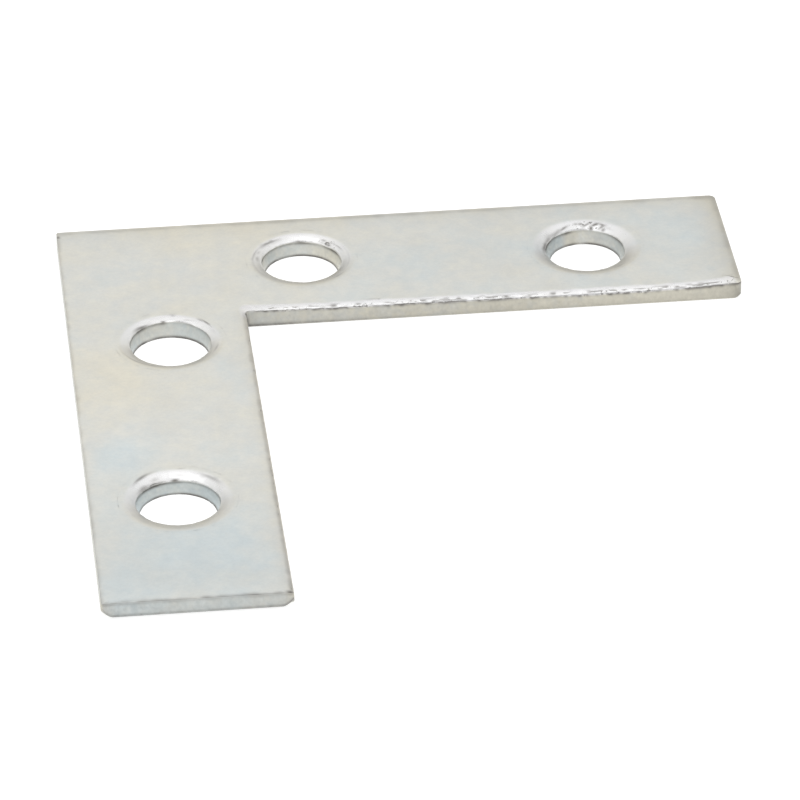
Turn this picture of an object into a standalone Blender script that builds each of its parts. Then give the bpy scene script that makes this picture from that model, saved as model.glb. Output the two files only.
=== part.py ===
"""A flat angle plate: one L of zinc-plated steel sheet with four countersunk screw holes.

The plate lies flat. Z = 0 is its underside, one leg runs along +X and the other along -Y, and the origin is
where the centre lines of the two legs cross. Sizes are in metres.
"""

import math

import bmesh
import bpy

# Legs and sheet
LEG_X_LENGTH = 0.0380  # from the outer corner to the tip of the leg along +X
LEG_Y_LENGTH = 0.0380  # from the outer corner to the tip of the leg along -Y
LEG_X_WIDTH = 0.0100
LEG_Y_WIDTH = 0.0100
THICKNESS = 0.0010

# Corners, seen from above
OUTER_CORNER_RADIUS = 0.00016
X_TIP_CORNER_RADIUS = 0.00038
Y_TIP_CORNER_RADIUS = 0.00016
INNER_CORNER_FILLET = 0.00012

# Edges: how far each round reaches in over the face, and how deep it goes
INNER_ROLL_REACH = 0.00042  # the inner edges were cut from above, which pulled the top face down
INNER_ROLL_DEPTH = 0.00017
INNER_FOOT_BREAK = 0.00005
OUTER_TOP_BREAK = 0.00005
OUTER_ROLL_REACH = 0.00014  # the outer edges were cut the other way, which pulled the underside up
OUTER_ROLL_DEPTH = 0.00008

# The pull is strongest at the free corners of a tip, where the underside turns up
Y_TIP_LIFT_REACH = 0.00060
Y_TIP_LIFT_HEIGHT = 0.00058
X_TIP_LIFT_REACH = 0.00045
X_TIP_LIFT_HEIGHT = 0.00020
LIFT_EXPONENT = 1.5  # of the superellipse that the lifted corner follows

# Screw holes: the inner ones are placed from the outer corner and the outer ones from the tip. The offset is
# from the leg's centre line, positive away from the plate's inner edge
X_INNER_HOLE_FROM_CORNER = 0.01363
X_INNER_HOLE_OFFSET = 0.00048
X_OUTER_HOLE_FROM_TIP = 0.00821
X_OUTER_HOLE_OFFSET = 0.00004
Y_INNER_HOLE_FROM_CORNER = 0.01261
Y_INNER_HOLE_OFFSET = -0.00057
Y_OUTER_HOLE_FROM_TIP = 0.00941
Y_OUTER_HOLE_OFFSET = 0.00028
HOLE_TOP_DIAMETER = 0.0045  # of the wall where the countersink ends
X_INNER_FOOT_DIAMETER = 0.00414  # of the wall at the underside
X_OUTER_FOOT_DIAMETER = 0.00400
Y_INNER_FOOT_DIAMETER = 0.00420
Y_OUTER_FOOT_DIAMETER = 0.00416
HOLE_DRIFT = 0.00012  # the punch leaned, so each hole's foot lies this far towards -Y from its top

# Each countersink was pressed to its own width and depth. The lean is how much deeper it is at its +Y side than
# halfway round to its -Y side; below zero it is shallower there
X_INNER_SINK_DIAMETER = 0.0059
X_INNER_SINK_DEPTH = 0.00024
X_INNER_SINK_LEAN = 0.000015
X_OUTER_SINK_DIAMETER = 0.0062
X_OUTER_SINK_DEPTH = 0.00029
X_OUTER_SINK_LEAN = -0.00003
Y_INNER_SINK_DIAMETER = 0.0058
Y_INNER_SINK_DEPTH = 0.000175
Y_INNER_SINK_LEAN = -0.000055
Y_OUTER_SINK_DIAMETER = 0.0060
Y_OUTER_SINK_DEPTH = 0.00026
Y_OUTER_SINK_LEAN = 0.00008

# Finish
ZINC_COLOUR = (0.78, 0.79, 0.77, 1.0)
ZINC_ROUGHNESS = 0.36

# How finely round shapes are cut
CORNER_STEPS = 6
ROUND_STEPS = 4
LIFT_STEPS = 5
HOLE_STEPS = 64
SINK_STEPS = 4
CUTTER_PAST = 0.0003  # how far a cutter runs past the faces

# The outline's lines follow from the legs
LEFT = -LEG_Y_WIDTH / 2
FAR = LEG_X_WIDTH / 2
RIGHT = LEFT + LEG_X_LENGTH
FRONT = FAR - LEG_Y_LENGTH
INNER_RIGHT = LEFT + LEG_Y_WIDTH
INNER_FRONT = FAR - LEG_X_WIDTH

# An edge's rounds: reach and depth at the top, then reach and depth at the foot
OUTER_EDGE = (OUTER_TOP_BREAK, OUTER_TOP_BREAK, OUTER_ROLL_REACH, OUTER_ROLL_DEPTH)
INNER_EDGE = (INNER_ROLL_REACH, INNER_ROLL_DEPTH, INNER_FOOT_BREAK, INNER_FOOT_BREAK)
TOP_REACH, TOP_DEPTH, FOOT_REACH, FOOT_DEPTH = range(4)

# Sides, counter-clockwise from the outer corner: (corner at its end, that corner's radius, edge's rounds).
# A side starts at the corner where the one before it ends
SIDES = (
    ((LEFT, FRONT), Y_TIP_CORNER_RADIUS, OUTER_EDGE),
    ((INNER_RIGHT, FRONT), Y_TIP_CORNER_RADIUS, OUTER_EDGE),
    ((INNER_RIGHT, INNER_FRONT), INNER_CORNER_FILLET, INNER_EDGE),
    ((RIGHT, INNER_FRONT), X_TIP_CORNER_RADIUS, INNER_EDGE),
    ((RIGHT, FAR), X_TIP_CORNER_RADIUS, OUTER_EDGE),
    ((LEFT, FAR), OUTER_CORNER_RADIUS, OUTER_EDGE),
)
CONCAVE_CORNER = 2

LIFTED_CORNERS = (
    ((LEFT, FRONT), Y_TIP_LIFT_REACH, Y_TIP_LIFT_HEIGHT),
    ((INNER_RIGHT, FRONT), Y_TIP_LIFT_REACH, Y_TIP_LIFT_HEIGHT),
    ((RIGHT, INNER_FRONT), X_TIP_LIFT_REACH, X_TIP_LIFT_HEIGHT),
    ((RIGHT, FAR), X_TIP_LIFT_REACH, X_TIP_LIFT_HEIGHT),
)

# Screw holes: (centre, foot diameter, countersink diameter, countersink depth, countersink lean)
HOLES = (
    (
        (LEFT + X_INNER_HOLE_FROM_CORNER, X_INNER_HOLE_OFFSET),
        X_INNER_FOOT_DIAMETER, X_INNER_SINK_DIAMETER, X_INNER_SINK_DEPTH, X_INNER_SINK_LEAN,
    ),
    (
        (RIGHT - X_OUTER_HOLE_FROM_TIP, X_OUTER_HOLE_OFFSET),
        X_OUTER_FOOT_DIAMETER, X_OUTER_SINK_DIAMETER, X_OUTER_SINK_DEPTH, X_OUTER_SINK_LEAN,
    ),
    (
        (-Y_INNER_HOLE_OFFSET, FAR - Y_INNER_HOLE_FROM_CORNER),
        Y_INNER_FOOT_DIAMETER, Y_INNER_SINK_DIAMETER, Y_INNER_SINK_DEPTH, Y_INNER_SINK_LEAN,
    ),
    (
        (-Y_OUTER_HOLE_OFFSET, FRONT + Y_OUTER_HOLE_FROM_TIP),
        Y_OUTER_FOOT_DIAMETER, Y_OUTER_SINK_DIAMETER, Y_OUTER_SINK_DEPTH, Y_OUTER_SINK_LEAN,
    ),
)


def between(a, b, share):
    return a + (b - a) * share


def smooth_step(share):
    return share * share * (3 - 2 * share)


def lift(x, y):
    """How far the underside is pulled up at (x, y): a superellipse that ends at each corner's reach."""
    height = 0.0
    for (corner_x, corner_y), reach, top in LIFTED_CORNERS:
        near = 1 - math.hypot(x - corner_x, y - corner_y) / reach
        if near > 0:
            height += top * (1 - (1 - near**LIFT_EXPONENT) ** (1 / LIFT_EXPONENT))
    return height


def side_shares(length):
    """Where a side has points: close together near its two ends, where the underside may be lifted."""
    reach = max(Y_TIP_LIFT_REACH, X_TIP_LIFT_REACH)
    near = [reach * (step + 1) / LIFT_STEPS / length for step in range(LIFT_STEPS)]
    return near + [0.5] + [1 - share for share in reversed(near)]


def outline(insets):
    """The L with each side moved in by its own inset: a list of (x, y, side, share of the way to the next).

    A convex corner's radius shrinks as its sides move in, and the inner corner's grows.
    """
    count = len(SIDES)
    lines = []
    for index, (corner, _, _) in enumerate(SIDES):
        start = SIDES[index - 1][0]
        length = math.dist(start, corner)
        along = ((corner[0] - start[0]) / length, (corner[1] - start[1]) / length)
        inward = (-along[1], along[0])
        lines.append((start, along, inward, length))
    corners = []
    for index, (corner, radius, _) in enumerate(SIDES):
        after = (index + 1) % count
        first_in, next_in = lines[index][2], lines[after][2]
        move = [insets[index] * first_in[axis] + insets[after] * next_in[axis] for axis in (0, 1)]
        if index == CONCAVE_CORNER:
            radius = radius + max(insets[index], insets[after])
        else:
            radius = max(radius - min(insets[index], insets[after]), radius / 2)
        corners.append((corner[0] + move[0], corner[1] + move[1], radius))
    points = []
    for index in range(count):
        x, y, radius = corners[index]
        into, out = lines[index][1], lines[(index + 1) % count][1]
        from_x, from_y, from_radius = corners[index - 1]
        first = (from_x + into[0] * from_radius, from_y + into[1] * from_radius)
        last = (x - into[0] * radius, y - into[1] * radius)
        for share in side_shares(lines[index][3]):
            points.append((between(first[0], last[0], share), between(first[1], last[1], share), index, 0.0))
        centre = (last[0] + out[0] * radius, last[1] + out[1] * radius)
        for step in range(CORNER_STEPS + 1):
            turn = math.pi / 2 * step / CORNER_STEPS
            points.append((
                centre[0] + radius * (into[0] * math.sin(turn) - out[0] * math.cos(turn)),
                centre[1] + radius * (into[1] * math.sin(turn) - out[1] * math.cos(turn)),
                index,
                step / CORNER_STEPS,
            ))
    return points


def ring(bm, reach, depth, share, height):
    """One loop of vertices round the plate, at a share of each side's round: 0 on the face, 1 on a wall."""
    turn = math.pi / 2 * share
    insets = [edge[reach] * (1 - math.sin(turn)) for _, _, edge in SIDES]
    loop = []
    for x, y, side, way in outline(insets):
        here = SIDES[side][2][depth]
        there = SIDES[(side + 1) % len(SIDES)][2][depth]
        drop = between(here, there, smooth_step(way)) * (1 - math.cos(turn))
        loop.append(bm.verts.new((x, y, height(x, y, drop))))
    return loop


def top_height(x, y, drop):
    return THICKNESS - drop


def foot_height(x, y, drop):
    return lift(x, y) + drop


def inner_foot_ring(bm, share):
    """A loop on the underside inside the edge rounds, out to where no corner is lifted any more."""
    reach = max(Y_TIP_LIFT_REACH, X_TIP_LIFT_REACH)
    insets = [between(edge[FOOT_REACH], reach, share) for _, _, edge in SIDES]
    return [bm.verts.new((x, y, lift(x, y))) for x, y, _, _ in outline(insets)]


def make_plate():
    """The L as a skin over loops: top face, top rounds, wall, foot rounds, lifted corners and underside."""
    bm = bmesh.new()
    steps = range(ROUND_STEPS + 1)
    loops = [ring(bm, TOP_REACH, TOP_DEPTH, step / ROUND_STEPS, top_height) for step in steps]
    loops += [ring(bm, FOOT_REACH, FOOT_DEPTH, step / ROUND_STEPS, foot_height) for step in reversed(steps)]
    loops += [inner_foot_ring(bm, (step + 1) / LIFT_STEPS) for step in range(LIFT_STEPS)]
    bm.faces.new(loops[0])
    for upper, lower in zip(loops, loops[1:]):
        for index in range(len(upper)):
            after = (index + 1) % len(upper)
            bm.faces.new((upper[index], lower[index], lower[after], upper[after]))
    bm.faces.new(list(reversed(loops[-1])))
    mesh = bpy.data.meshes.new("angle_plate")
    bm.to_mesh(mesh)
    bm.free()
    plate = bpy.data.objects.new("angle_plate", mesh)
    bpy.context.scene.collection.objects.link(plate)
    return plate


def turn_profile(bm, profile, centre):
    """Turns a profile of (radius, z, lean, drift) round a vertical axis at the centre and closes both ends.

    A loop drops by its lean at its +Y side, rises by it at its -Y side, and is moved by its drift towards -Y.
    """
    loops = []
    for radius, z, lean, drift in profile:
        loops.append([
            bm.verts.new((
                centre[0] + radius * math.cos(math.tau * step / HOLE_STEPS),
                centre[1] + radius * math.sin(math.tau * step / HOLE_STEPS) - drift,
                z - lean * math.sin(math.tau * step / HOLE_STEPS),
            ))
            for step in range(HOLE_STEPS)
        ])
    bm.faces.new(list(reversed(loops[0])))
    for lower, upper in zip(loops, loops[1:]):
        for index in range(HOLE_STEPS):
            after = (index + 1) % HOLE_STEPS
            bm.faces.new((lower[index], lower[after], upper[after], upper[index]))
    bm.faces.new(loops[-1])


def hole_profile(foot_diameter, sink_diameter, sink_depth, sink_lean):
    """From below the plate to above it: a wall that narrows and drifts downwards, then a dish that leans.

    The dish is a parabola, steepest at the wall and level with the top face at its rim.
    """
    wall_top = THICKNESS - sink_depth
    past = CUTTER_PAST / wall_top
    narrowing = (HOLE_TOP_DIAMETER - foot_diameter) / 2
    profile = [(foot_diameter / 2 - narrowing * past, -CUTTER_PAST, 0.0, HOLE_DRIFT * (1 + past))]
    for step in range(SINK_STEPS + 1):
        share = step / SINK_STEPS
        radius = between(HOLE_TOP_DIAMETER, sink_diameter, share) / 2
        rise = (1 - share) ** 2
        profile.append((radius, THICKNESS - sink_depth * rise, sink_lean * rise, 0.0))
    profile.append((sink_diameter / 2, THICKNESS + CUTTER_PAST, 0.0, 0.0))
    return profile


def make_hole_cutter():
    """Four turned plugs, one for each screw hole."""
    bm = bmesh.new()
    for centre, *sizes in HOLES:
        turn_profile(bm, hole_profile(*sizes), centre)
    mesh = bpy.data.meshes.new("hole_cutter")
    bm.to_mesh(mesh)
    bm.free()
    cutter = bpy.data.objects.new("hole_cutter", mesh)
    cutter.hide_render = True
    cutter.display_type = "WIRE"
    bpy.context.scene.collection.objects.link(cutter)
    return cutter


def drill(plate, cutter):
    cut = plate.modifiers.new("screw holes", "BOOLEAN")
    cut.operation = "DIFFERENCE"
    cut.solver = "EXACT"
    cut.object = cutter


def zinc_plating():
    material = bpy.data.materials.new("zinc_plated_steel")
    material.use_nodes = True
    shader = material.node_tree.nodes["Principled BSDF"]
    shader.inputs["Base Color"].default_value = ZINC_COLOUR
    shader.inputs["Metallic"].default_value = 1.0
    shader.inputs["Roughness"].default_value = ZINC_ROUGHNESS
    return material


def main():
    for old in list(bpy.data.objects):
        bpy.data.objects.remove(old)
    plate = make_plate()
    drill(plate, make_hole_cutter())
    plate.data.materials.append(zinc_plating())
    plate.data.shade_smooth()
    plate.data.set_sharp_from_angle(angle=math.radians(30))


main()
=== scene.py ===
"""Looks for a flat angle plate: one L of zinc-plated steel sheet with four countersunk screw holes.

The plate is one closed surface worked out with numpy. A profile is carried round the L for its edges, a
profile is turned for each screw hole, and the two flat faces are filled between them. Sizes are in metres in
the settings and in millimetres while the surface is worked out.
"""

import math

import bpy
import numpy as np
from bpy.props import FloatProperty, FloatVectorProperty, PointerProperty
from mathutils import Matrix, Vector, geometry


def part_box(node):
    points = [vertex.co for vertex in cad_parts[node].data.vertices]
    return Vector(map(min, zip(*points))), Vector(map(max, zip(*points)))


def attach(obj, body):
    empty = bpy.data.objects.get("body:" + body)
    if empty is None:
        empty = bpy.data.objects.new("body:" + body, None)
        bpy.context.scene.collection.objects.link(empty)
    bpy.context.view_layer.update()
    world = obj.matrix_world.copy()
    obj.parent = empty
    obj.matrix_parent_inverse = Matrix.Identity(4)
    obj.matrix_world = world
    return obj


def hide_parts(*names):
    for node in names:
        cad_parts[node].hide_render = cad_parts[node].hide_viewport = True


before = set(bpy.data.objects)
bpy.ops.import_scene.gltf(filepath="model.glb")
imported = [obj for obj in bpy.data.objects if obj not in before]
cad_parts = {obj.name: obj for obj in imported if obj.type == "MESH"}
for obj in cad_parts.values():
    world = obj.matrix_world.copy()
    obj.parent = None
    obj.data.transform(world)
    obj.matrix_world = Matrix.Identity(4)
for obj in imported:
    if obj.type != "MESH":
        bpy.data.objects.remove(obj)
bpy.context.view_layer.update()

bl_info = {
    "name": "Angle plate",
    "version": (1, 0, 0),
    "blender": (4, 5, 0),
    "location": "View3D > Sidebar > Angle plate",
    "description": "Makes a zinc-plated angle plate with countersunk screw holes, and a stage for it",
    "category": "Add Mesh",
}

NODE = "angle_plate"
LOW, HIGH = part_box(NODE)
MM = 1000.0

# The L's six sides are counted from 0, counter-clockwise from the outer corner, and each ends at the corner
# of its own number. Tables by side are in that order
INNER_RIGHT, INNER_FRONT = 2, 3
Y_TIP_LEFT, Y_TIP_RIGHT, CONCAVE_CORNER, X_TIP_FRONT, X_TIP_FAR = range(5)
HOLE_NAMES = ("x_inner", "x_outer", "y_inner", "y_outer")

# Layout of the surface, in millimetres: spacing of the columns along each side, width of the edges' grid over
# the top face and underneath, spacing of the points inside it, zone of closer columns at both ends of a side
# and their spacing
SIDE_SPACINGS = (0.50, 0.12, 0.16, 0.06, 0.25, 0.50)
FACE_INSET, UNDER_INSET = 1.0, 0.62
FACE_SPACING, UNDER_SPACING = 0.34, 1.5
END_ZONE, END_SPACING = 0.75, 0.06
# Clearance of those points from the edges' grid and the holes' rings, in spacings, and spacing of their rows
EDGE_CLEARANCE, RING_CLEARANCE, ROW_HEIGHT = 0.6, 0.5, 0.866
# Steps of a corner's arc, and the short run that it counts for in the noise along the edges
CORNER_STEPS, CORNER_RUN = 12, 0.01
# Rows in each stretch of a screw hole's profile: ring on the top face, dish, lip, wall, ring underneath
HOLE_ROWS, HOLE_COLUMNS = (3, 14, 5, 12, 4), 216
# Widths of those two rings, and reach of the round over the lip
RIM_RING, FOOT_RING, LIP = 0.22, 0.30, 0.05
# First seed of each hole's noise, and width of the table of random numbers
HOLE_SEEDS = (100, 110, 120, 130)
TABLE_WIDTH = 64

# Relief, in millimetres: height and length of the top face's waves, depth of the roll's pits, grain of the
# walls and of the roll, and depth of the crease under the roll
FACE_WAVE, WAVE_LENGTH = 0.004, 6.0
PIT_DEPTH, WALL_GRAIN, ROLL_GRAIN, CREASE = 0.020, 0.005, 0.007, 0.010
# Chatter and waves of the countersinks' dishes, grain of the holes' walls, tears and chatter of their lips
DISH_CHATTER, DISH_WAVE, BORE_GRAIN, LIP_TEAR, LIP_CHATTER = 0.006, 0.012, 0.008, 0.028, 0.010
# Power of the lifted corners' superellipse, and share of the way along Y that counts at the front left one
LIFT_POWER, LONG_LIFT = 1.5, 0.72

# Tone of the top face along each side: strength of a dark line of painted shade, its distance from the side
# and width, strength and width of a softer painted shade, and warmth. Lengths are in millimetres
SIDE_TONES = (
    (0.22, 0.03, 0.11, 0.00, 0.35, 0.40),
    (0.36, 0.00, 0.12, -0.07, 0.70, -0.10),
    (0.23, 0.14, 0.12, 0.18, 0.30, 1.50),
    (0.00, 0.00, 0.10, 0.00, 0.30, 0.00),
    (0.20, 0.15, 0.13, 0.19, 0.60, 1.10),
    (0.22, 0.26, 0.15, 0.12, 0.80, 0.75),
)
# Shade, tint and strength of the painted contact shadow at its foot of each side's wall, at its start,
# middle and end
WALL_TONES = (
    ((0.80, 0.20, 0.25),) * 3,
    ((0.71, -0.80, 0.42), (0.70, -0.55, 0.34), (0.71, -0.30, 0.50)),
    ((0.76, 0.40, 0.50),) * 3,
    ((0.725, 0.25, 0.55), (0.668, 0.95, 0.12), (0.724, 1.15, 0.10)),
    ((0.76, 0.50, 0.50),) * 3,
    ((0.76, 0.20, 0.50),) * 3,
)
# Tone of each side's sharp edge: strength of the dark line of painted shade at the top of its wall, share by
# which the edge is painted lighter as a highlight, mottling of the wall's tint, and strength of the painted
# shade in the seam under the roll
EDGE_TONES = (
    (0.08, 0.00, 0.30, 0.00),
    (0.24, 0.00, 0.15, 0.00),
    (0.05, 0.20, 0.30, 0.10),
    (0.00, 0.00, 0.30, 1.00),
    (0.05, 0.25, 0.30, 0.00),
    (0.05, 0.22, 0.30, 0.00),
)
# Changes of the front inner edge's roll: place along X, half width, growth of its reach, share of its depth
ROLL_CHANGES = (
    (5.0, 2.4, 0.20, -0.62),
    (13.0, 2.5, 0.05, -0.10),
    (26.0, 4.0, 0.03, 0.28),
    (33.0, 1.5, 0.26, 0.0),
)
# Lean of the wall under that roll: place along X, half width, and how far its top is set back
WALL_LEANS = ((5.0, 6.0, 0.19), (15.0, 5.0, 0.09), (33.0, 2.2, 0.26))
# Share by which that wall is lighter at its top and darker at its foot
WALL_RISE = 0.06
# Dark spots on the top face near the edges: centre, widths and strength
DARK_SPOTS = (
    (-4.92, 4.40, 0.10, 0.16, 0.85), (-4.55, 4.75, 0.30, 0.22, 0.20), (12.2, -4.38, 0.40, 0.07, 0.25),
    (12.5, -4.43, 0.07, 0.05, 0.45), (32.75, 4.75, 0.35, 0.30, 0.30), (-4.75, -33.0, 0.22, 0.14, 0.50),
    (-3.75, -33.0, 0.45, 0.20, 0.44), (-2.75, -33.0, 0.40, 0.18, 0.42), (4.80, -33.0, 0.25, 0.18, 1.00),
)
# Patches of tint, cool below 0 and warm above, and of shade on the top face: centre, widths and amount
TINT_PATCHES = (
    (6.0, 3.2, 5.0, 2.4, 0.75), (-3.0, -11.5, 2.6, 4.2, 0.95), (0.5, -5.0, 4.0, 3.0, 0.30),
    (-3.2, -19.0, 2.0, 2.2, -0.95), (0.5, -29.0, 5.5, 4.5, -0.85), (30.5, 1.5, 2.4, 3.2, -0.60),
    (17.0, 0.0, 7.0, 4.0, -0.12), (-3.5, -32.0, 2.2, 1.6, -0.50),
)
SHADE_PATCHES = (
    (0.0, -33.0, 9.0, 7.5, -0.085), (22.0, 0.0, 11.0, 8.0, -0.045), (33.5, 0.0, 2.6, 8.0, -0.080),
    (-3.0, -13.0, 3.0, 5.0, 0.020), (0.0, -19.5, 6.0, 4.0, 0.022),
)
# Round each screw hole: angle in degrees, strength of the painted shadow line under the lip, shade and tint
# of the wall
HOLE_TONES = {
    "x_inner": (
        (0, 0.50, 0.88, 0.2), (20, 0.70, 0.90, 0.5), (44, 0.90, 0.92, 0.3), (55, 0.45, 0.94, 0.2),
        (88, 0.75, 0.96, -0.2), (96, 0.45, 0.94, -0.2), (125, 0.60, 0.90, 0.1), (145, 0.60, 0.82, -0.3),
        (175, 0.60, 0.88, 0.1), (210, 0.20, 0.95, 0.2), (330, 0.20, 0.95, 0.2),
    ),
    "x_outer": (
        (0, 0.60, 0.81, -0.8), (30, 0.60, 0.87, -0.6), (50, 0.35, 0.89, -0.3), (65, 0.15, 0.87, 0.1),
        (88, 0.20, 0.94, 0.3), (100, 0.30, 0.87, 1.0), (111, 1.00, 0.89, 0.9), (125, 0.70, 0.83, -0.8),
        (150, 1.00, 0.77, -1.0), (172, 0.95, 0.77, -0.8), (200, 0.30, 0.95, 0.2), (330, 0.20, 0.95, 0.2),
    ),
    "y_inner": (
        (0, 0.45, 0.86, 0.0), (30, 0.45, 0.87, -0.5), (55, 0.40, 0.89, -0.4), (65, 0.12, 0.90, -0.6),
        (88, 0.15, 0.92, -0.4), (96, 0.85, 0.92, -0.2), (104, 0.50, 0.91, -0.2), (122, 0.80, 0.90, -0.1),
        (138, 0.85, 0.88, -0.2), (175, 0.65, 0.84, -0.2), (210, 0.20, 0.95, 0.2), (330, 0.20, 0.95, 0.2),
    ),
    "y_outer": (
        (0, 0.50, 0.83, -1.0), (30, 0.50, 0.85, -0.9), (60, 0.35, 0.88, -0.6), (78, 0.35, 0.89, -0.8),
        (90, 1.00, 0.89, -0.8), (120, 0.95, 0.88, -1.0), (142, 0.85, 0.87, -1.0), (165, 0.55, 0.82, -1.0),
        (185, 0.45, 0.83, -1.0), (210, 0.20, 0.93, -0.3), (330, 0.20, 0.93, -0.3),
    ),
}
# Painted dark reflections and shade on each countersink: angle and half width in degrees, radius and half
# height in millimetres, growth of the radius in 10 degrees, strength
SINK_SHADES = {
    "x_inner": (
        (130, 11, 2.63, 0.11, 0.032, 0.75), (200, 20, 2.78, 0.09, 0.01, 0.16), (-48, 8, 2.82, 0.05, 0, 0.40),
        (-13, 30, 2.70, 0.04, 0, 0.15), (163, 13, 2.74, 0.07, 0.02, 0.40), (171, 4, 2.50, 0.10, 0, 0.35),
        (156, 3, 2.58, 0.08, 0, 0.30), (54, 3, 2.50, 0.08, 0, 0.60), (55, 3, 2.35, 0.06, 0, 0.40),
        (45, 3.5, 2.35, 0.08, 0, 0.75), (39, 5, 2.53, 0.06, 0.02, 0.35), (28, 6, 2.53, 0.05, 0, 0.50),
        (88, 5, 2.28, 0.06, 0, 0.60),
    ),
    "x_outer": (
        (94, 2.2, 2.63, 0.08, 0, 0.60), (88, 2.6, 2.61, 0.08, 0, 0.75), (81, 3.6, 2.56, 0.09, -0.27, 0.90),
        (70, 3.6, 2.59, 0.10, -0.28, 1.10), (74, 2.0, 2.37, 0.15, 0, 1.10),
        (60.5, 3.4, 2.67, 0.09, 0.04, 0.80), (60.5, 2.6, 2.52, 0.09, -0.40, 1.00),
        (56.5, 2.0, 2.38, 0.12, 0, 0.80), (84, 7, 2.28, 0.05, 0, 0.40), (51, 5, 2.55, 0.07, 0, 0.25),
        (112, 5.0, 2.50, 0.08, -0.14, 0.95), (127, 10, 2.38, 0.13, -0.08, 0.60),
        (148, 10, 2.34, 0.11, 0, 0.60), (166, 12, 2.33, 0.11, 0, 0.85), (-55, 5, 2.87, 0.05, 0, 0.35),
        (185, 20, 2.75, 0.20, 0, 0.10), (134, 16, 2.38, 0.17, -0.03, 0.42),
    ),
    "y_inner": (
        (48.5, 3, 2.74, 0.06, 0, 0.60), (40, 6.5, 2.76, 0.055, 0.06, 0.80), (96, 2.5, 2.28, 0.07, 0, 0.90),
        (83, 2.2, 2.72, 0.14, 0, 0.30), (63, 6, 2.46, 0.05, -0.12, 0.30), (131, 10, 2.31, 0.09, 0.02, 0.85),
        (-135, 16, 2.79, 0.04, -0.03, 0.45), (-21, 6, 2.63, 0.06, 0, 0.35), (20, 4, 2.60, 0.10, 0, 0.12),
    ),
    "y_outer": (
        (129, 9, 2.88, 0.09, -0.058, 0.75), (45, 11, 2.72, 0.12, 0.012, 0.50), (90, 5, 2.28, 0.07, 0, 0.95),
        (138, 10, 2.32, 0.10, 0, 0.65), (120, 8, 2.29, 0.07, 0, 0.75), (83, 2.8, 2.94, 0.06, 0, 0.25),
        (116, 4, 2.47, 0.09, 0, 0.35), (83, 7, 2.52, 0.06, 0, 0.22), (112, 10, 2.28, 0.04, 0, 0.60),
    ),
}
# Share by which each countersink's near side is painted darker, as shade, and tint added there
NEAR_SINKS = {
    "x_inner": (0.27, 0.90), "x_outer": (0.27, 1.30), "y_inner": (0.22, 1.20), "y_outer": (0.12, 1.60),
}
# Fine flecks on each countersink: angle and half width in degrees, radius and half height, strength
SINK_FLECKS = {
    "x_inner": (44, 12, 2.42, 0.18, 0.70),
    "x_outer": (77, 24, 2.55, 0.25, 0.60),
    "y_inner": (80, 45, 2.34, 0.08, 0.12),
    "y_outer": (95, 50, 2.34, 0.08, 0.12),
}

# Scales of the plating's noise, in lumps per metre, and depth of its finest relief in metres
CLOUDS, MOTTLING, GRAIN, STREAKS = 320.0, 1400.0, 6500.0, 5200.0
FINE_RELIEF = 0.00002
# The stage, in metres: half the floor's width and its gap under the plate, place and width of the lamp, and
# the camera's nearest and furthest distance. The sensor's width is in millimetres
FLOOR_HALF, FLOOR_GAP = 3.0, 0.00002
LAMP_PLACE, LAMP_WIDTH = (-0.10, -0.05, 0.50), 0.35
NEAREST, FURTHEST, SENSOR_WIDTH = 0.01, 20.0, 36.0


def length(name, description, default):
    """A setting that holds one length in metres."""
    return FloatProperty(
        name=name, description=description, default=default, min=0.0, precision=5, unit="LENGTH"
    )



def lengths(name, description, default):
    """A setting that holds several lengths in metres."""
    return FloatVectorProperty(
        name=name, description=description, default=default, size=len(default), precision=5, unit="LENGTH"
    )


def share(name, description, default):
    """A setting that holds a share from 0 to 1."""
    return FloatProperty(
        name=name, description=description, default=default, min=0.0, max=1.0, subtype="FACTOR"
    )


def level(name, description, default):
    """A setting that holds a light level, where 1 shows a colour as it is written."""
    return FloatProperty(name=name, description=description, default=default, min=0.0)


def bearing(name, description, degrees):
    """A setting that holds an angle, given in degrees."""
    return FloatProperty(
        name=name, description=description, default=math.radians(degrees), subtype="ANGLE"
    )


def colour(name, description, default):
    """A setting that holds one colour."""
    return FloatVectorProperty(
        name=name, description=description, default=default, size=3, min=0.0, max=1.0, subtype="COLOR"
    )


class PlateSizes(bpy.types.PropertyGroup):
    """Sizes of the plate's edges and corners."""

    leg_width: length("Leg width", "Width of each leg", 0.0100)
    outer_corner: length("Outer corner", "Plan radius of the outer corner", 0.00016)
    x_tip_corner: length("X tip corner", "Plan radius of the X leg's outer corners", 0.00038)
    y_tip_corner: length("Y tip corner", "Plan radius of the Y leg's outer corners", 0.00016)
    inner_corner: length("Inner corner", "Plan radius of the inner corner", 0.00012)
    roll_reach: length("Roll reach", "How far the inner edges' roll comes in over the top face", 0.00042)
    roll_depth: length("Roll depth", "How deep the inner edges' roll goes", 0.00017)
    foot_reach: length("Foot reach", "How far the outer edges' foot is rounded in underneath", 0.00030)
    foot_depth: length("Foot depth", "How high the outer edges' foot is rounded", 0.00014)
    edge_break: length("Edge break", "Round left on the sharp edges", 0.00005)
    x_tip_lift: lengths("X tip lift", "Reach and height of the X tip's lifted corners", (0.00045, 0.00020))
    y_tip_lift: lengths("Y tip lift", "Reach and height of the Y tip's lifted corners", (0.00060, 0.00058))
    face_drop: length("Face drop", "How far the top face falls towards its edges", 0.000016)
    face_reach: length("Face reach", "Distance over which the top face falls", 0.00090)


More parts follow.
